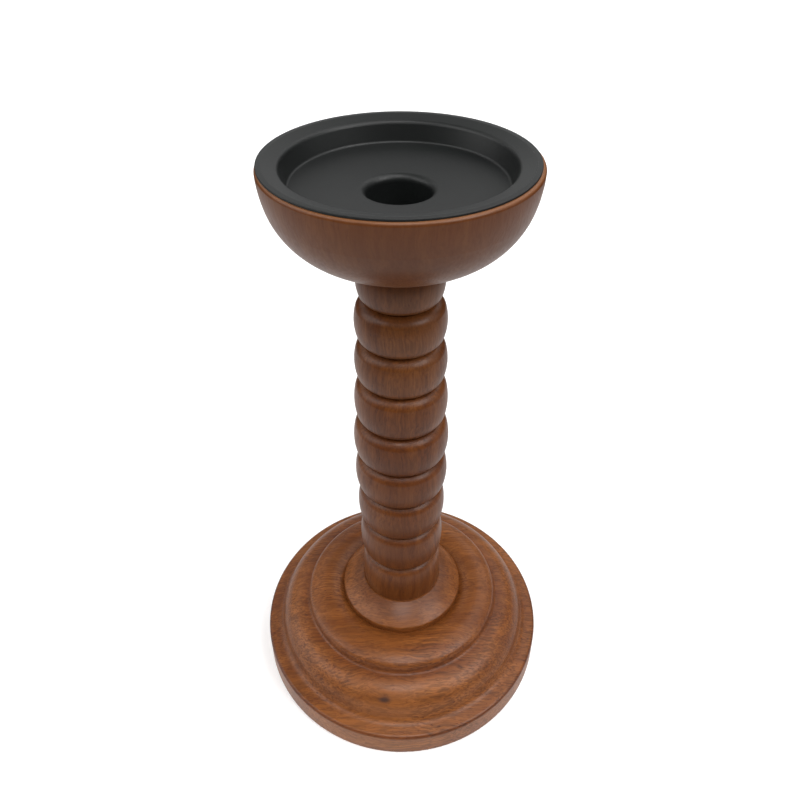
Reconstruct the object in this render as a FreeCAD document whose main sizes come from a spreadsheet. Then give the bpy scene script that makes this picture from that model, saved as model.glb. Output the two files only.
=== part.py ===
import FreeCAD, Part
import math
import os
import re

import Sketcher

# Turned wooden candlestick with a drop-in metal candle dish.
# Origin: centre of the felt pad's underside, where the candlestick stands.
# +Z runs up the axis of the turning. All sizes are in millimetres.

os.makedirs("parts", exist_ok=True)
doc = FreeCAD.newDocument("Candlestick")


# ---------------------------------------------------------------- driving sizes

SIZES = {
    # felt under the foot
    "felt_radius": 63.0,
    "felt_thick": 1.0,
    # foot: side band, ledge, ovolo, torus and collar; heights are above the floor
    "foot_radius": 68.1,
    "foot_edge_round": 0.7,
    "band_top": 13.3,
    "band_round": 1.6,
    "ovolo_foot_radius": 60.5,
    "ovolo_foot_height": 15.1,
    "ovolo_foot_cove": 4.5,
    "ovolo_round": 13.8,
    "torus_foot_radius": 46.4,
    "torus_foot_height": 28.9,
    "torus_foot_cove": 1.8,
    "torus_shoulder_round": 4.0,
    "torus_crown_radius": 37.0,
    "torus_crown_height": 35.7,
    "torus_crown_round": 14.0,
    "collar_radius": 28.8,
    "collar_edge_height": 36.2,
    "collar_edge_round": 1.0,
    "collar_dome_round": 40.0,
    "collar_top_radius": 18.8,
    # joint of foot and column
    "column_base": 42.4,
    "tenon_radius": 8.0,
    "tenon_length": 18.0,
    "tenon_gap": 0.05,
    "tenon_end_gap": 0.4,
    # column
    "groove_depth": 5.4,
    "bead_shoulder": 4.8,
    "column_foot_radius": 18.0,
    "column_foot_round": 90.0,
    # joint of column and bowl
    "spigot_radius": 9.0,
    "spigot_length": 2.0,
    "spigot_end_gap": 0.3,
    # bowl
    "rim_radius": 48.5,
    "rim_height": 256.0,
    "rim_round": 1.3,
    "bowl_side_round": 45.0,
    "bowl_hip_round": 30.0,
    "bowl_floor_round": 45.4,
    "bowl_flat_radius": 10.9,
    "seat_radius": 46.6,
    "seat_fall": 2.1,
    "recess_radius": 42.0,
    "recess_depth": 13.2,
    "bore_radius": 13.3,
    "bore_web": 6.0,
    # metal candle dish
    "sheet_thick": 0.8,
    "flange_radius": 47.6,
    "flange_arris": 0.25,
    "flange_land_radius": 45.7,
    "flange_land_bend": 2.0,
    "flange_fall": 1.6,
    "pan_top_radius": 40.3,
    "pan_edge_radius": 38.2,
    "pan_edge_depth": 9.05,
    "pan_depth": 11.45,
    "pan_lip_bend": 1.0,
    "pan_edge_bend": 1.0,
    "cup_radius": 11.6,
    "cup_depth": 16.0,
    "cup_lip_bend": 1.7,
    "cup_floor_bend": 1.2,
    "dish_offset": 0.4,
    # wood screws
    "screw_radius": 2.2,
    "pilot_radius": 1.6,
    "pilot_spare": 1.0,
    "clear_radius": 2.5,
    "screw_tip": 5.0,
    "slot_wide": 1.1,
    "slot_long": 4.6,
    "slot_deep": 1.6,
    "bowl_screw_length": 40.0,
    "countersunk_radius": 4.4,
    "countersunk_deep": 2.4,
    "foot_screw_length": 45.0,
    "panhead_radius": 4.3,
    "panhead_tall": 3.0,
    "panhead_round": 1.6,
    # washer in the counterbore under the foot
    "washer_radius": 8.0,
    "washer_thick": 1.2,
    "washer_round": 0.3,
    "counterbore_radius": 9.0,
    "counterbore_roof": 9.0,
}

# each turned bead, from the top one down: height and crest diameter
BEADS = (
    (18.2, 34.0),
    (18.6, 36.2),
    (18.8, 37.2),
    (20.4, 38.6),
    (19.8, 40.3),
    (19.2, 40.1),
    (20.4, 38.9),
    (21.9, 38.0),
    (20.4, 37.0),
)
for number, (bead_height, bead_diameter) in enumerate(BEADS, start=1):
    SIZES["bead_height_%d" % number] = bead_height
    SIZES["bead_crest_%d" % number] = bead_diameter / 2

table = doc.addObject("Spreadsheet::Sheet", "Sizes")
for row, (alias, value) in enumerate(SIZES.items(), start=1):
    table.set("A%d" % row, alias)
    table.set("B%d" % row, str(value))
    table.setAlias("B%d" % row, alias)
doc.recompute()


def bound(formula):
    """The formula with each size in it read from the sheet."""
    return re.sub(
        r"[a-z]\w*",
        lambda word: "Sizes." + word.group() if word.group() in SIZES else word.group(),
        formula,
    )


def number_of(formula):
    """The formula's value now, to place a sketch point before it is constrained."""
    value = table.evalExpression(bound(formula).replace("Sizes.", ""))
    return float(getattr(value, "Value", value))


# ---------------------------------------------------------------- building blocks

def new_body(name):
    body = doc.addObject("PartDesign::Body", name)
    body.Label = name
    return body


def origin_plane(body, role):
    return next(item for item in body.Origin.OriginFeatures if item.Role == role)


class Outline:
    """Closed outline in a body's XZ plane, drawn anticlockwise: x is the radius, y the height.

    Every size is a formula of the sheet's aliases. A point is pinned in the directions
    named in pin, "x", "y" or "xy"; the sketch's solver moves it in the others from the
    place given. smooth joins an edge tangentially to the one before.
    """

    def __init__(self, body, name, radius, height):
        self.sketch = body.newObject("Sketcher::SketchObject", name)
        self.sketch.AttachmentSupport = (origin_plane(body, "XZ_Plane"), [""])
        self.sketch.MapMode = "FlatFace"
        self.start = (radius, height)
        self.pen = self.point(radius, height)
        self.last_end = None
        self.first_end = None

    @staticmethod
    def point(radius, height):
        return FreeCAD.Vector(number_of(radius), number_of(height), 0)

    def fix(self, kind, edge, end, formula):
        """Hold one end of an edge, or an arc's centre, at a formula's distance from the origin."""
        index = self.sketch.addConstraint(
            Sketcher.Constraint(kind, -1, 1, edge, end, number_of(formula))
        )
        self.sketch.setExpression("Constraints[%d]" % index, bound(formula))

    def pin(self, edge, end, radius, height, which):
        if "x" in which and radius == "0":
            self.sketch.addConstraint(Sketcher.Constraint("PointOnObject", edge, end, -2))
        elif "x" in which:
            self.fix("DistanceX", edge, end, radius)
        if "y" in which:
            self.fix("DistanceY", edge, end, height)

    def join(self, edge, smooth):
        """Start an edge where the one before it ends, or at the outline's first point."""
        if self.last_end is None:
            self.first_end = (edge, 1)
            self.pin(edge, 1, *self.start, "xy")
        else:
            kind = "Tangent" if smooth else "Coincident"
            self.sketch.addConstraint(Sketcher.Constraint(kind, *self.last_end, edge, 1))
        self.last_end = (edge, 2)

    def line(self, radius, height, pin="xy"):
        target = self.point(radius, height)
        edge = self.sketch.addGeometry(Part.LineSegment(self.pen, target), False)
        self.join(edge, smooth=False)
        self.pin(edge, 2, radius, height, pin)
        self.pen = target

    def arc(self, radius, height, bend, pin="xy", smooth=False, centre=None):
        """Arc of the given bend radius that bulges out of the material."""
        target = self.point(radius, height)
        reach = number_of(bend)
        chord = target - self.pen
        side = FreeCAD.Vector(-chord.y, chord.x, 0).normalize()
        rise = math.sqrt(max(reach ** 2 - (chord.Length / 2) ** 2, 0))
        middle = (self.pen + target) * 0.5 + side * rise
        angles = [math.atan2(end.y - middle.y, end.x - middle.x) for end in (self.pen, target)]
        if angles[1] < angles[0]:
            angles[1] += 2 * math.pi
        circle = Part.Circle(middle, FreeCAD.Vector(0, 0, 1), reach)
        edge = self.sketch.addGeometry(Part.ArcOfCircle(circle, *angles), False)
        self.join(edge, smooth)
        self.pin(edge, 2, radius, height, pin)
        index = self.sketch.addConstraint(Sketcher.Constraint("Radius", edge, reach))
        self.sketch.setExpression("Constraints[%d]" % index, bound(bend))
        if centre:
            self.pin(edge, 3, *centre, "".join(axis for axis, at in zip("xy", centre) if at))
        self.pen = target

    def close(self):
        """Straight edge back to the first point."""
        edge = self.sketch.addGeometry(Part.LineSegment(self.pen, self.point(*self.start)), False)
        self.sketch.addConstraint(Sketcher.Constraint("Coincident", *self.last_end, edge, 1))
        self.sketch.addConstraint(Sketcher.Constraint("Coincident", edge, 2, *self.first_end))
        return self.sketch


def spin(body, sketch, kind="Revolution"):
    """Turn a sketch right round the Z axis, adding (Revolution) or cutting (Groove)."""
    feature = body.newObject("PartDesign::" + kind, sketch.Name + "_turned")
    feature.Profile = sketch
    feature.ReferenceAxis = (sketch, ["V_Axis"])
    feature.Angle = 360
    body.Tip = feature
    doc.recompute()
    return feature


def round_ring(body, radius, height, bend):
    """Round the circular edge of the given radius and height."""
    feature = body.Tip
    names = []
    for index, edge in enumerate(feature.Shape.Edges, start=1):
        curve = edge.Curve
        if not isinstance(curve, Part.Circle):
            continue
        at_radius = abs(curve.Radius - number_of(radius)) < 0.01
        at_height = abs(curve.Center.z - number_of(height)) < 0.01
        if at_radius and at_height:
            names.append("Edge%d" % index)
    fillet = body.newObject("PartDesign::Fillet", "Round")
    fillet.Base = (feature, names)
    fillet.setExpression("Radius", bound(bend))
    body.Tip = fillet
    doc.recompute()


def bore_stack(body, name, steps):
    """Cut a stepped bore on the axis: steps of (radius, lower height, upper height), from below."""
    outline = Outline(body, name, "0", steps[0][1])
    for radius, low, high in steps:
        outline.line(radius, low)
        outline.line(radius, high)
    outline.line("0", steps[-1][2])
    return spin(body, outline.close(), "Groove")


# ---------------------------------------------------------------- heights along the axis

def bead_top(number):
    """Height of the groove above a bead, the topmost one being the bowl's underside."""
    above_foot = ["bead_height_%d" % item for item in range(number, len(BEADS) + 1)]
    return "column_base + " + " + ".join(above_foot)


COLUMN_TOP = bead_top(1)
TORUS_CENTRE = "torus_crown_height - torus_crown_round"
TORUS_VALLEY = TORUS_CENTRE + " + sqrt(torus_crown_round ^ 2 - (torus_crown_radius - collar_radius) ^ 2)"
FLANGE_TOP = "rim_height + sheet_thick"
PAN_LIP = FLANGE_TOP + " - flange_fall"
PAN_EDGE = FLANGE_TOP + " - pan_edge_depth"
PAN_FLOOR = FLANGE_TOP + " - pan_depth"
CUP_FLOOR = PAN_FLOOR + " - cup_depth"
BORE_FLOOR = COLUMN_TOP + " + bore_web"
TENON_END = "column_base - tenon_length"
BOWL_SCREW_TIP = BORE_FLOOR + " - bowl_screw_length"
FOOT_SCREW_SEAT = "counterbore_roof - washer_thick"
FOOT_SCREW_TIP = FOOT_SCREW_SEAT + " + foot_screw_length"


# ---------------------------------------------------------------- felt pad

def make_felt():
    body = new_body("felt_pad")
    outline = Outline(body, "FeltOutline", "0", "0")
    outline.line("felt_radius", "0")
    outline.line("felt_radius", "felt_thick")
    outline.line("0", "felt_thick")
    spin(body, outline.close())
    return body


# ---------------------------------------------------------------- turned foot

def make_base():
    body = new_body("base")
    outline = Outline(body, "FootOutline", "0", "felt_thick")
    outline.line("foot_radius", "felt_thick")
    outline.line("foot_radius", "band_top")
    outline.line("ovolo_foot_radius", "ovolo_foot_height")
    outline.arc("torus_foot_radius", "torus_foot_height", "ovolo_round")
    outline.line("torus_foot_radius", "torus_foot_height + torus_foot_cove", pin="x")
    outline.arc(
        "torus_foot_radius - torus_shoulder_round / 2",
        "torus_foot_height + torus_shoulder_round",
        "torus_shoulder_round",
        pin="",
        smooth=True,
    )
    outline.arc(
        "collar_radius",
        TORUS_VALLEY,
        "torus_crown_round",
        pin="x",
        smooth=True,
        centre=("torus_crown_radius", TORUS_CENTRE),
    )
    outline.line("collar_radius", "collar_edge_height")
    outline.arc("collar_top_radius", "column_base", "collar_dome_round")
    outline.line("0", "column_base")
    spin(body, outline.close())
    round_ring(body, "foot_radius", "felt_thick", "foot_edge_round")
    round_ring(body, "foot_radius", "band_top", "band_round")
    round_ring(body, "ovolo_foot_radius", "ovolo_foot_height", "ovolo_foot_cove")
    round_ring(body, "torus_foot_radius", "torus_foot_height", "torus_foot_cove")
    round_ring(body, "collar_radius", "collar_edge_height", "collar_edge_round")
    bore_stack(body, "FootBore", (
        ("counterbore_radius", "felt_thick", "counterbore_roof"),
        ("clear_radius", "counterbore_roof", TENON_END + " - tenon_end_gap"),
        ("tenon_radius + tenon_gap", TENON_END + " - tenon_end_gap", "column_base"),
    ))
    return body


# ---------------------------------------------------------------- turned column

def add_bead(body, number):
    """One bead: two tight shoulder arcs with a flatter crest arc, tangent to both."""
    top = bead_top(number)
    half = "bead_height_%d / 2" % number
    crest = "bead_crest_%d" % number
    floor = "(%s - groove_depth)" % crest
    lean = "2 * atan((groove_depth - bead_shoulder) / (%s - bead_shoulder))" % half
    crest_bend = "bead_shoulder + (%s - bead_shoulder) / sin(%s)" % (half, lean)
    meet_radius = "%s + bead_shoulder * cos(%s)" % (floor, lean)
    meet_rise = "(%s - bead_shoulder + bead_shoulder * sin(%s))" % (half, lean)
    middle = "%s - %s" % (top, half)
    bottom = "%s - bead_height_%d" % (top, number)
    is_lowest = number == len(BEADS)

    outline = Outline(body, "Bead%d" % number, "0", bottom)
    if is_lowest:
        outline.line("column_foot_radius", bottom)
        outline.arc(crest, middle, "column_foot_round")
        outline.arc(meet_radius, "%s + %s" % (middle, meet_rise), crest_bend)
    else:
        outline.line(floor, bottom)
        outline.arc(meet_radius, "%s - %s" % (middle, meet_rise), "bead_shoulder")
        outline.arc(meet_radius, "%s + %s" % (middle, meet_rise), crest_bend)
    outline.arc(floor, top, "bead_shoulder")
    outline.line("0", top)
    spin(body, outline.close())


def make_column():
    body = new_body("column")
    core = Outline(body, "ColumnCore", "0", TENON_END)
    core.line("tenon_radius", TENON_END)
    core.line("tenon_radius", COLUMN_TOP)
    core.line("spigot_radius", COLUMN_TOP)
    core.line("spigot_radius", COLUMN_TOP + " + spigot_length")
    core.line("0", COLUMN_TOP + " + spigot_length")
    spin(body, core.close())
    for number in range(1, len(BEADS) + 1):
        add_bead(body, number)
    bore_stack(body, "FootScrewPilot", (
        ("pilot_radius", TENON_END, FOOT_SCREW_TIP + " + pilot_spare"),
    ))
    bore_stack(body, "BowlScrewPilot", (
        ("pilot_radius", BOWL_SCREW_TIP + " - pilot_spare", COLUMN_TOP + " + spigot_length"),
    ))
    return body


# ---------------------------------------------------------------- turned bowl

def make_bowl():
    """Bowl whose outside is three tangent arcs: under the floor, round the hip and up the side."""
    # degrees that two of the arcs turn through, roughly; the solver finds where they meet
    floor_sweep = 27
    side_sweep = 16
    body = new_body("bowl")
    outline = Outline(body, "BowlOutline", "0", COLUMN_TOP)
    outline.line("bowl_flat_radius", COLUMN_TOP)
    outline.arc(
        "bowl_flat_radius + bowl_floor_round * sin(%d)" % floor_sweep,
        COLUMN_TOP + " + bowl_floor_round * (1 - cos(%d))" % floor_sweep,
        "bowl_floor_round",
        pin="",
        centre=("bowl_flat_radius", None),
    )
    outline.arc(
        "rim_radius - bowl_side_round * (1 - cos(%d))" % side_sweep,
        "rim_height - bowl_side_round * sin(%d)" % side_sweep,
        "bowl_hip_round",
        pin="",
        smooth=True,
    )
    outline.arc(
        "rim_radius",
        "rim_height",
        "bowl_side_round",
        smooth=True,
        centre=(None, "rim_height"),
    )
    outline.line("0", "rim_height")
    spin(body, outline.close())
    round_ring(body, "rim_radius", "rim_height", "rim_round")
    bore_stack(body, "BowlBore", (
        ("spigot_radius + tenon_gap", COLUMN_TOP, COLUMN_TOP + " + spigot_length + spigot_end_gap"),
        ("clear_radius", COLUMN_TOP + " + spigot_length + spigot_end_gap", BORE_FLOOR),
        ("bore_radius", BORE_FLOOR, "rim_height - recess_depth"),
        ("recess_radius", "rim_height - recess_depth", "rim_height"),
    ))
    seat = Outline(body, "DishSeat", "0", "rim_height - seat_fall")
    seat.line("recess_radius", "rim_height - seat_fall")
    seat.line("seat_radius", "rim_height")
    seat.line("0", "rim_height")
    spin(body, seat.close(), "Groove")
    sink = Outline(body, "Countersink", "0", BORE_FLOOR + " - countersunk_deep")
    sink.line("screw_radius", BORE_FLOOR + " - countersunk_deep")
    sink.line("countersunk_radius", BORE_FLOOR)
    sink.line("0", BORE_FLOOR)
    spin(body, sink.close(), "Groove")
    return body


# ---------------------------------------------------------------- drawn metal dish

def make_dish():
    """Sheet dish: a flange that falls towards the pan, the pan's leaning wall and falling floor, a cup."""
    body = new_body("candle_insert")
    under = " - sheet_thick"
    outer = " + sheet_thick"
    outline = Outline(body, "DishOutline", "0", CUP_FLOOR + under)
    outline.line("cup_radius" + outer, CUP_FLOOR + under)
    outline.line("cup_radius" + outer, PAN_FLOOR + under)
    outline.line("pan_edge_radius" + outer, PAN_EDGE + under)
    outline.line("pan_top_radius" + outer, PAN_LIP + under)
    outline.line("flange_land_radius", "rim_height")
    outline.line("flange_radius", "rim_height")
    outline.line("flange_radius", FLANGE_TOP)
    outline.line("flange_land_radius", FLANGE_TOP)
    outline.line("pan_top_radius", PAN_LIP)
    outline.line("pan_edge_radius", PAN_EDGE)
    outline.line("cup_radius", PAN_FLOOR)
    outline.line("cup_radius", CUP_FLOOR)
    outline.line("0", CUP_FLOOR)
    spin(body, outline.close())
    for radius, height, bend in (
        ("flange_land_radius", FLANGE_TOP, "flange_land_bend"),
        ("flange_land_radius", "rim_height", "flange_land_bend" + under),
        ("pan_top_radius", PAN_LIP, "pan_lip_bend" + outer),
        ("pan_top_radius" + outer, PAN_LIP + under, "pan_lip_bend"),
        ("pan_edge_radius", PAN_EDGE, "pan_edge_bend"),
        ("pan_edge_radius" + outer, PAN_EDGE + under, "pan_edge_bend" + outer),
        ("cup_radius", PAN_FLOOR, "cup_lip_bend" + outer),
        ("cup_radius" + outer, PAN_FLOOR + under, "cup_lip_bend"),
        ("cup_radius", CUP_FLOOR, "cup_floor_bend"),
        ("cup_radius" + outer, CUP_FLOOR + under, "cup_floor_bend" + outer),
        ("flange_radius", FLANGE_TOP, "flange_arris"),
        ("flange_radius", "rim_height", "flange_arris"),
    ):
        round_ring(body, radius, height, bend)
    body.setExpression("Placement.Base.x", bound("-dish_offset"))
    return body


# ---------------------------------------------------------------- screws and washer

def cut_cross_recess(body, head_face, upwards):
    """Cross-shaped driver recess: one slot, and the same slot turned a quarter round the axis."""
    sketch = body.newObject("Sketcher::SketchObject", body.Name + "_slot")
    sketch.AttachmentSupport = (origin_plane(body, "XY_Plane"), [""])
    sketch.MapMode = "FlatFace"
    sketch.setExpression("AttachmentOffset.Base.z", bound(head_face))
    half_long = number_of("slot_long / 2")
    half_wide = number_of("slot_wide / 2")
    corners = [
        FreeCAD.Vector(along * half_long, across * half_wide, 0)
        for along, across in ((-1, -1), (1, -1), (1, 1), (-1, 1))
    ]
    for index, corner in enumerate(corners):
        sketch.addGeometry(Part.LineSegment(corner, corners[(index + 1) % 4]), False)
    for index in range(4):
        sketch.addConstraint(Sketcher.Constraint("Coincident", index, 2, (index + 1) % 4, 1))
        level = "Vertical" if index % 2 else "Horizontal"
        sketch.addConstraint(Sketcher.Constraint(level, index))
    sketch.addConstraint(Sketcher.Constraint("Symmetric", 0, 1, 1, 2, -1, 1))
    length = sketch.addConstraint(Sketcher.Constraint("DistanceX", 0, 1, 0, 2, 2 * half_long))
    sketch.setExpression("Constraints[%d]" % length, bound("slot_long"))
    width = sketch.addConstraint(Sketcher.Constraint("DistanceY", 1, 1, 1, 2, 2 * half_wide))
    sketch.setExpression("Constraints[%d]" % width, bound("slot_wide"))
    pocket = body.newObject("PartDesign::Pocket", body.Name + "_recess")
    pocket.Profile = sketch
    pocket.Reversed = upwards
    pocket.setExpression("Length", bound("slot_deep"))
    doc.recompute()
    cross = body.newObject("PartDesign::PolarPattern", body.Name + "_cross")
    cross.Originals = [pocket]
    cross.Axis = (origin_plane(body, "Z_Axis"), [""])
    cross.Angle = 90
    cross.Occurrences = 2
    body.Tip = cross
    doc.recompute()


def make_bowl_screw():
    body = new_body("bowl_screw")
    outline = Outline(body, "BowlScrewOutline", "0", BOWL_SCREW_TIP)
    outline.line("screw_radius", BOWL_SCREW_TIP + " + screw_tip")
    outline.line("screw_radius", BORE_FLOOR + " - countersunk_deep")
    outline.line("countersunk_radius", BORE_FLOOR)
    outline.line("0", BORE_FLOOR)
    spin(body, outline.close())
    cut_cross_recess(body, BORE_FLOOR, upwards=False)
    return body


def make_foot_screw():
    body = new_body("base_screw")
    head_face = FOOT_SCREW_SEAT + " - panhead_tall"
    outline = Outline(body, "FootScrewOutline", "0", head_face)
    outline.line("panhead_radius", head_face)
    outline.line("panhead_radius", FOOT_SCREW_SEAT)
    outline.line("screw_radius", FOOT_SCREW_SEAT)
    outline.line("screw_radius", FOOT_SCREW_TIP + " - screw_tip")
    outline.line("0", FOOT_SCREW_TIP)
    spin(body, outline.close())
    round_ring(body, "panhead_radius", head_face, "panhead_round")
    cut_cross_recess(body, head_face, upwards=True)
    return body


def make_washer():
    body = new_body("base_washer")
    outline = Outline(body, "WasherOutline", "clear_radius", FOOT_SCREW_SEAT)
    outline.line("washer_radius", FOOT_SCREW_SEAT)
    outline.line("washer_radius", "counterbore_roof")
    outline.line("clear_radius", "counterbore_roof")
    spin(body, outline.close())
    round_ring(body, "washer_radius", FOOT_SCREW_SEAT, "washer_round")
    return body


# ---------------------------------------------------------------- build, check and write

bodies = [
    make_felt(),
    make_base(),
    make_column(),
    make_bowl(),
    make_dish(),
    make_bowl_screw(),
    make_foot_screw(),
    make_washer(),
]
doc.recompute()

for item in doc.Objects:
    if "Invalid" in item.State or "Error" in item.State:
        raise RuntimeError("%s failed: %s" % (item.Label, item.State))
for body in bodies:
    shape = body.Shape
    if shape.isNull() or not shape.isValid() or len(shape.Solids) != 1:
        raise RuntimeError("%s is not one valid solid" % body.Label)
for body in bodies:
    body.Shape.exportStep("parts/%s.step" % body.Label)
    box = body.Shape.optimalBoundingBox()
    print("%-14s %9.1f mm3  z %7.2f to %7.2f  widest %6.2f"
          % (body.Label, body.Shape.Volume, box.ZMin, box.ZMax, box.XLength))
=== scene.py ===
"""Looks of the turned wooden candlestick: materials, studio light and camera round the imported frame."""

import math

import bpy
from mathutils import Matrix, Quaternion, Vector


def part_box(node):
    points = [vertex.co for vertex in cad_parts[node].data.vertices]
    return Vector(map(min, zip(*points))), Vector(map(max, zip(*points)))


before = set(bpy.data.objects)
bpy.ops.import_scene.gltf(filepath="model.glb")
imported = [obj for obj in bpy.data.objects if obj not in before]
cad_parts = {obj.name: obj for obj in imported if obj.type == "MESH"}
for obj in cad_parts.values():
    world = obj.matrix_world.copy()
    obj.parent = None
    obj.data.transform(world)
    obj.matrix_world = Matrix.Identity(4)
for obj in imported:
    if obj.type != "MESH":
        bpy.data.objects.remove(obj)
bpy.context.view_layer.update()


# ---------------------------------------------------------------- node helpers

def linear(red, green, blue):
    """Opaque colour from linear parts."""
    return (red, green, blue, 1.0)


def srgb(red, green, blue):
    """Opaque colour from 8-bit sRGB parts."""
    shares = [part / 255 for part in (red, green, blue)]
    return linear(*(
        share / 12.92 if share <= 0.04045 else ((share + 0.055) / 1.055) ** 2.4 for share in shares
    ))


def frame_top(node):
    """Height of a CAD node's highest point."""
    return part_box(node)[1][2]


class Nodes:
    """Short forms for building a material's node tree."""

    def __init__(self, name):
        self.material = bpy.data.materials.new(name)
        self.material.use_nodes = True
        self.tree = self.material.node_tree
        self.tree.nodes.clear()
        self.output = self.add("ShaderNodeOutputMaterial")

    def add(self, kind, inputs=None, **settings):
        """New node with these settings and inputs, each a value or another node's socket."""
        node = self.tree.nodes.new(kind)
        for key, value in settings.items():
            setattr(node, key, value)
        for key, value in (inputs or {}).items():
            self.feed(node.inputs[key], value)
        return node

    def feed(self, socket, value):
        if isinstance(value, bpy.types.NodeSocket):
            self.tree.links.new(value, socket)
        else:
            socket.default_value = value

    def place(self):
        """Place on the piece, in metres from the frame's origin."""
        return self.add("ShaderNodeTexCoord").outputs["Object"]

    def noise(self, vector, scale, detail=3.0, roughness=0.5, output="Fac"):
        """Noise from 0 to 1 or, with the output Color, three such noises."""
        node = self.add("ShaderNodeTexNoise", {
            "Vector": vector, "Scale": scale, "Detail": detail, "Roughness": roughness,
        })
        return node.outputs[output]

    def math(self, operation, first, second, third=0.5, clamp=False):
        node = self.add("ShaderNodeMath", operation=operation, use_clamp=clamp)
        for socket, value in zip(node.inputs, (first, second, third)):
            self.feed(socket, value)
        return node.outputs[0]

    def vector(self, operation, first, second):
        return self.add("ShaderNodeVectorMath", {0: first, 1: second}, operation=operation).outputs[0]

    def length(self, vector):
        return self.add("ShaderNodeVectorMath", {0: vector}, operation="LENGTH").outputs["Value"]

    def height(self, place):
        return self.add("ShaderNodeSeparateXYZ", {"Vector": place}).outputs["Z"]

    def ring(self, place, radius, level):
        """Distance from the circle of this radius and height round the Z axis."""
        parts = self.add("ShaderNodeSeparateXYZ", {"Vector": place})
        flat = self.add("ShaderNodeCombineXYZ", {"X": parts.outputs["X"], "Y": parts.outputs["Y"]})
        section = self.add("ShaderNodeCombineXYZ", {
            "X": self.math("SUBTRACT", self.length(flat.outputs[0]), radius),
            "Z": self.math("SUBTRACT", parts.outputs["Z"], level),
        })
        return self.length(section.outputs[0])

    def remap(self, value, low, high, to_low=0.0, to_high=1.0):
        """Smooth step from to_low, where the value is low, to to_high, where it is high."""
        node = self.add("ShaderNodeMapRange", {
            "Value": value, "From Min": low, "From Max": high, "To Min": to_low, "To Max": to_high,
        }, interpolation_type="SMOOTHSTEP")
        return node.outputs["Result"]

    def ramp(self, value, *stops):
        """Colour that runs through the stops, each a position and a colour."""
        node = self.add("ShaderNodeValToRGB", {"Fac": value})
        elements = node.color_ramp.elements
        while len(elements) < len(stops):
            elements.new(0.5)
        for element, (position, colour) in zip(elements, stops):
            element.position = position
            element.color = colour
        return node.outputs["Color"]

    def blend(self, factor, first, second):
        node = self.add("ShaderNodeMix", data_type="RGBA")
        for index, value in ((0, factor), (6, first), (7, second)):
            self.feed(node.inputs[index], value)
        return node.outputs[2]

    def bump(self, height, distance, strength):
        node = self.add("ShaderNodeBump", {"Height": height, "Distance": distance, "Strength": strength})
        return node.outputs["Normal"]

    def shader(self, colour, roughness, normal=None, **constants):
        """Ends the tree in a Principled shader and returns the material."""
        node = self.add("ShaderNodeBsdfPrincipled", {"Base Color": colour, "Roughness": roughness})
        if normal is not None:
            self.feed(node.inputs["Normal"], normal)
        for key, value in constants.items():
            node.inputs[key.replace("_", " ").title().replace("Ior", "IOR")].default_value = value
        self.tree.links.new(node.outputs["BSDF"], self.output.inputs["Surface"])
        return self.material


# ---------------------------------------------------------------- materials

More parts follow.
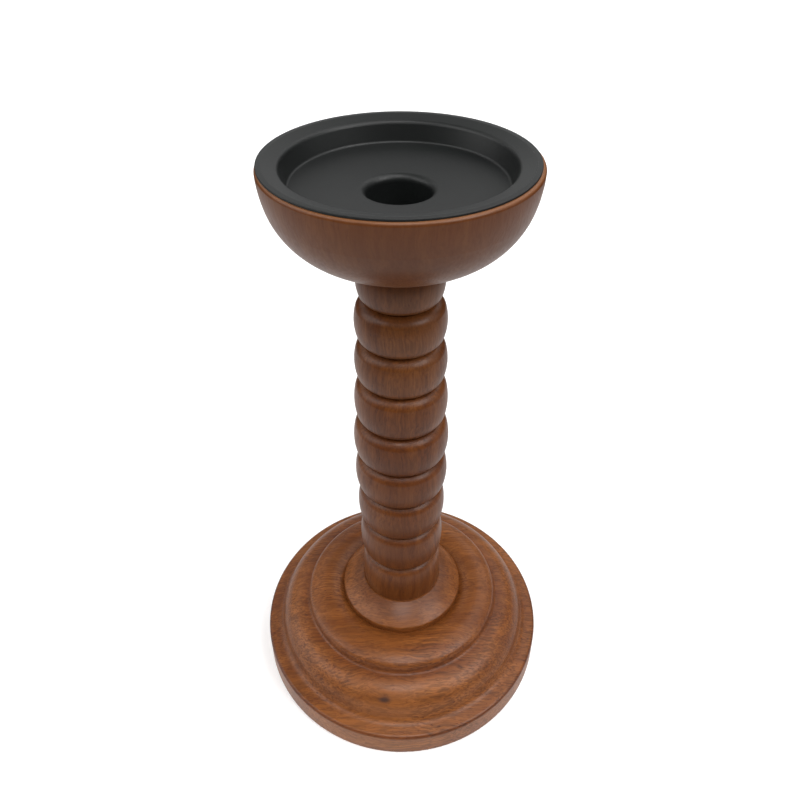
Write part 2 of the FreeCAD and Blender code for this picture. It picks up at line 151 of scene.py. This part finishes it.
def wood(name, light, middle, dark, upright, seed, contrast=1.0, knot=None, arris_highlight_height=None, painted_light_rings=(), painted_shade_by_height=None):
    """Lacquered hardwood with its grain up Z if upright, else along X.

    knot is the place of a small pin knot that the grain flows round; the arris height is the
    height above which the turned edge gets a painted highlight; the rings are (radius, height,
    reach, tone) round the Z axis, painted shade in joints, grooves and coves and painted light
    on crowns and near the floor, the colour multiplied by tone; the height pairs are two
    (height, brightness) pairs that the wood shades between, a painted shadow.
    """
    n = Nodes(name)
    place = n.place()
    height = n.height(place)

    # the grain wanders a few millimetres over the board, and swells round the knot
    wander = n.vector("SUBTRACT", n.noise(place, 45, output="Color"), (0.5, 0.5, 0.5))
    grain = n.vector("ADD", place, n.vector("MULTIPLY", wander, (0.007, 0.007, 0.007)))
    if knot:
        reach = n.length(n.vector("MULTIPLY", n.vector("SUBTRACT", place, knot), (0.5, 1.0, 1.0)))
        swell = n.remap(reach, 0.0, 0.006, 0.0016, 0.0)
        grain = n.vector("ADD", grain, n.add("ShaderNodeCombineXYZ", {"Y": swell, "Z": swell}).outputs[0])

    def stretched(across, along):
        """The grain's space, scaled so many times per metre across and along the fibres."""
        return n.add("ShaderNodeMapping", {
            "Vector": grain,
            "Location": (seed, seed * 0.7, seed * 1.3),
            "Scale": (across, across, along) if upright else (along, across, across),
        }).outputs["Vector"]

    cloud = n.noise(stretched(26, 12), 1.0, detail=1)
    figure = n.noise(stretched(230, 14), 1.0, roughness=0.55)
    lines = n.noise(stretched(1300, 45), 1.0, detail=2)
    fibre = n.noise(stretched(1900, 150), 1.0, detail=2, roughness=0.6)
    vessels = n.noise(stretched(2100, 330), 1.0, detail=1, roughness=0.4)
    strong = n.remap(n.noise(place, 34, detail=1), 0.4, 0.6, 0.6, 1.1)

    # broad figure, then fine lines and fibres, then the dark open pores
    shade = n.math("ADD", n.math("MULTIPLY", figure, 0.45), n.math("MULTIPLY", cloud, 0.55))
    colour = n.ramp(n.remap(shade, 0.33, 0.67), (0.0, dark), (0.5, middle), (1.0, light))
    ripple = n.math("MULTIPLY", n.remap(lines, 0.36, 0.62, -0.24, 0.15), strong)
    ripple = n.math("ADD", ripple, n.remap(fibre, 0.35, 0.65, -0.09, 0.07))
    colour = n.vector("MULTIPLY", colour, n.math("MULTIPLY_ADD", ripple, contrast, 1.0))
    pore = n.math("MULTIPLY", n.remap(vessels, 0.62, 0.72), strong)
    stain = n.vector("MULTIPLY", colour, (0.55, 0.45, 0.40))
    colour = n.blend(n.math("MULTIPLY", pore, 0.8 * contrast, clamp=True), colour, stain)

    if knot:
        colour = n.blend(n.remap(reach, 0.0004, 0.0022, 0.9, 0.0), colour, srgb(58, 40, 34))
    # painted shade and painted light: the colour scaled in rings round the axis
    for radius, level, spread, tone in painted_light_rings:
        near = n.remap(n.ring(place, radius, level), 0.1 * spread, spread, 1.0, 0.0)
        colour = n.blend(near, colour, n.vector("MULTIPLY", colour, tone))
    # painted shadow: the colour scaled between two brightnesses by height, here the bowl's shadow on the
    # column
    if painted_shade_by_height:
        (low, low_tone), (high, high_tone) = painted_shade_by_height
        colour = n.vector("MULTIPLY", colour, n.remap(height, low, high, low_tone, high_tone))
    # painted highlight: the turned edge above this height lightened towards a pale orange
    if arris_highlight_height:
        arris_highlight = n.remap(height, arris_highlight_height, arris_highlight_height + 0.0006)
        colour = n.blend(n.math("MULTIPLY", arris_highlight, 0.4), colour, srgb(158, 110, 74))

    relief = n.math("ADD", n.math("MULTIPLY", lines, 0.8), n.math("MULTIPLY", fibre, 0.5))
    relief = n.math("SUBTRACT", relief, n.math("MULTIPLY", pore, 0.5))
    normal = n.bump(relief, 0.00007 * contrast, 0.8)
    roughness = n.remap(lines, 0.3, 0.7, 0.46, 0.38)
    return n.shader(colour, roughness, normal, specular_ior_level=0.24, coat_weight=0.12, coat_roughness=0.24)


def coated_metal(name):
    """Matt black powder coat, slightly cloudy and finely gritty."""
    n = Nodes(name)
    place = n.place()
    colour = n.ramp(n.noise(place, 40), (0.3, srgb(14, 16, 16)), (0.7, srgb(18, 21, 20)))
    normal = n.bump(n.noise(place, 2600, detail=2), 0.00004, 0.4)
    return n.shader(colour, 0.46, normal, specular_ior_level=0.42)


def plated_steel(name):
    n = Nodes(name)
    colour = n.ramp(n.noise(n.place(), 300), (0.3, srgb(170, 172, 168)), (0.7, srgb(200, 200, 194)))
    return n.shader(colour, 0.32, metallic=1.0)


def felt(name):
    n = Nodes(name)
    fuzz = n.noise(n.place(), 1800, detail=4, roughness=0.7)
    colour = n.ramp(fuzz, (0.3, srgb(20, 20, 21)), (0.7, srgb(48, 47, 46)))
    return n.shader(colour, 0.95, n.bump(fuzz, 0.0003, 0.8))


def foot_painted_shading(top):
    """Painted shade and painted light round the foot, whose turned steps lie below its top: shade at the
    column joint, collar groove, torus cove and band edge, a painted highlight on the ovolo crown and painted
    bounce light on the side band.
    """
    column_joint_shade = (0.0195, top, 0.0090, (0.68, 0.64, 0.64))
    collar_groove_shade = (0.0292, top - 0.0085, 0.0040, (0.92, 0.90, 0.88))
    torus_cove_shade = (0.0472, top - 0.0128, 0.0050, (0.84, 0.78, 0.78))
    ovolo_crown_highlight = (0.0550, top - 0.0145, 0.0045, (1.14, 1.18, 1.20))
    side_band_bounce_light = (0.0681, top - 0.0350, 0.0075, (1.26, 1.27, 0.98))
    band_edge_shade = (0.0679, top - 0.0294, 0.0014, (0.60, 0.50, 0.46))
    return column_joint_shade, collar_groove_shade, torus_cove_shade, ovolo_crown_highlight, side_band_bounce_light, band_edge_shade


def dress(node, material):
    """Gives a CAD node this material alone."""
    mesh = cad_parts[node].data
    mesh.materials.clear()
    mesh.materials.append(material)


# the foot gets painted shade in its joint, groove, cove and band edge, and painted light on the ovolo crown
# and side band
dress("base", wood(
    "base_wood", linear(0.222, 0.074, 0.018), linear(0.176, 0.055, 0.012), linear(0.134, 0.038, 0.008),
    upright=False, seed=5.7, contrast=1.15, knot=(-0.0081, -0.0567, 0.0245),
    painted_light_rings=foot_painted_shading(frame_top("base")),
))
# the column darkens towards its top, a painted shadow of the bowl
dress("column", wood(
    "column_wood", linear(0.165, 0.054, 0.013), linear(0.124, 0.036, 0.007), linear(0.086, 0.022, 0.004),
    upright=True, seed=4.0, contrast=0.7, painted_shade_by_height=((0.15, 1.04), (0.19, 0.92)),
))
# the bowl's rounded rim edge gets a painted highlight
dress("bowl", wood(
    "bowl_wood", linear(0.170, 0.058, 0.015), linear(0.148, 0.047, 0.012), linear(0.126, 0.037, 0.009),
    upright=True, seed=9.0, contrast=0.3, arris_highlight_height=frame_top("bowl") - 0.0008,
))
dress("candle_insert", coated_metal("insert_coat"))
steel = plated_steel("plated_steel")
for fastener in ("bowl_screw", "base_screw", "base_washer"):
    dress(fastener, steel)
dress("felt_pad", felt("felt"))


# ---------------------------------------------------------------- floor, light and camera

def make_floor(reach):
    """Plain white table top, reach metres from its middle to each edge."""
    mesh = bpy.data.meshes.new("floor")
    corners = [(-reach, -reach, 0), (reach, -reach, 0), (reach, reach, 0), (-reach, reach, 0)]
    mesh.from_pydata(corners, [], [(0, 1, 2, 3)])
    floor = bpy.data.objects.new("floor", mesh)
    bpy.context.scene.collection.objects.link(floor)
    n = Nodes("floor")
    mesh.materials.append(n.shader(
        linear(0.9, 0.9, 0.9), 0.9,
        specular_ior_level=0.0, emission_color=linear(1, 1, 1), emission_strength=0.2,
    ))
    # table_bounce stands in for the light that the floor throws back up
    floor.visible_diffuse = False
    floor.visible_glossy = False
    floor.visible_shadow = False


def soft_lamp(name, azimuth, elevation, spread, strength):
    """Even light from a round patch of the studio, spread degrees wide; azimuth 0 is +X."""
    across = math.radians(azimuth)
    above = math.radians(elevation)
    towards = Vector((
        math.cos(above) * math.cos(across), math.cos(above) * math.sin(across), math.sin(above),
    ))
    data = bpy.data.lights.new(name, "SUN")
    data.energy = strength
    data.angle = math.radians(spread)
    lamp = bpy.data.objects.new(name, data)
    lamp.rotation_mode = "QUATERNION"
    lamp.rotation_quaternion = towards.to_track_quat("Z", "Y")
    bpy.context.scene.collection.objects.link(lamp)


def table_bounce(width, radiance):
    """Light thrown back up by the lit table top, from a disc under and round the object."""
    area = math.pi * (width / 2) ** 2
    data = bpy.data.lights.new("table_bounce", "AREA")
    data.shape = "DISK"
    data.size = width
    data.energy = radiance * math.pi * area
    lamp = bpy.data.objects.new("table_bounce", data)
    lamp.location = (0, 0, -0.002)
    lamp.rotation_euler = (math.pi, 0, 0)
    lamp.visible_camera = False
    bpy.context.scene.collection.objects.link(lamp)


def make_backdrop():
    """White studio beyond the floor; it lights nothing, because the lamps do."""
    world = bpy.data.worlds.new("studio")
    bpy.context.scene.world = world
    world.use_nodes = True
    background = world.node_tree.nodes["Background"]
    background.inputs["Color"].default_value = linear(1, 1, 1)
    background.inputs["Strength"].default_value = 1.0
    world.cycles_visibility.diffuse = False
    world.cycles_visibility.glossy = False


def make_light():
    soft_lamp("overhead", -90, 67, 22, 1.03)
    soft_lamp("overhead_right", 0, 68, 48, 0.85)
    soft_lamp("front", -90, 42, 34, 0.2)
    soft_lamp("front_right", -30, 42, 34, 1.47)
    soft_lamp("front_left", -150, 42, 34, 0.76)
    soft_lamp("left", 180, 20, 44, 0.95)
    soft_lamp("right", 0, 15, 34, 0.2)
    soft_lamp("back_right", 45, 40, 40, 0.53)
    soft_lamp("back", 90, 25, 46, 0.35)
    soft_lamp("back_left", 135, 35, 40, 0.32)
    table_bounce(1.2, 0.97)


def make_camera():
    """Camera in front of the object, looking 34.63 degrees down at it."""
    data = bpy.data.cameras.new("camera")
    data.sensor_width = 36
    data.lens = 33.08
    data.shift_y = -0.083
    camera = bpy.data.objects.new("camera", data)
    camera.rotation_mode = "QUATERNION"
    camera.location = (-0.0003, -0.2347, 0.3473)
    tilt = Quaternion((1, 0, 0), math.radians(90 - 34.63))
    roll = Quaternion((0, 0, 1), math.radians(-0.25))
    camera.rotation_quaternion = tilt @ roll
    bpy.context.scene.collection.objects.link(camera)
    bpy.context.scene.camera = camera


make_floor(6.0)
make_backdrop()
make_light()
make_camera()
bpy.context.scene.view_settings.view_transform = "Standard"
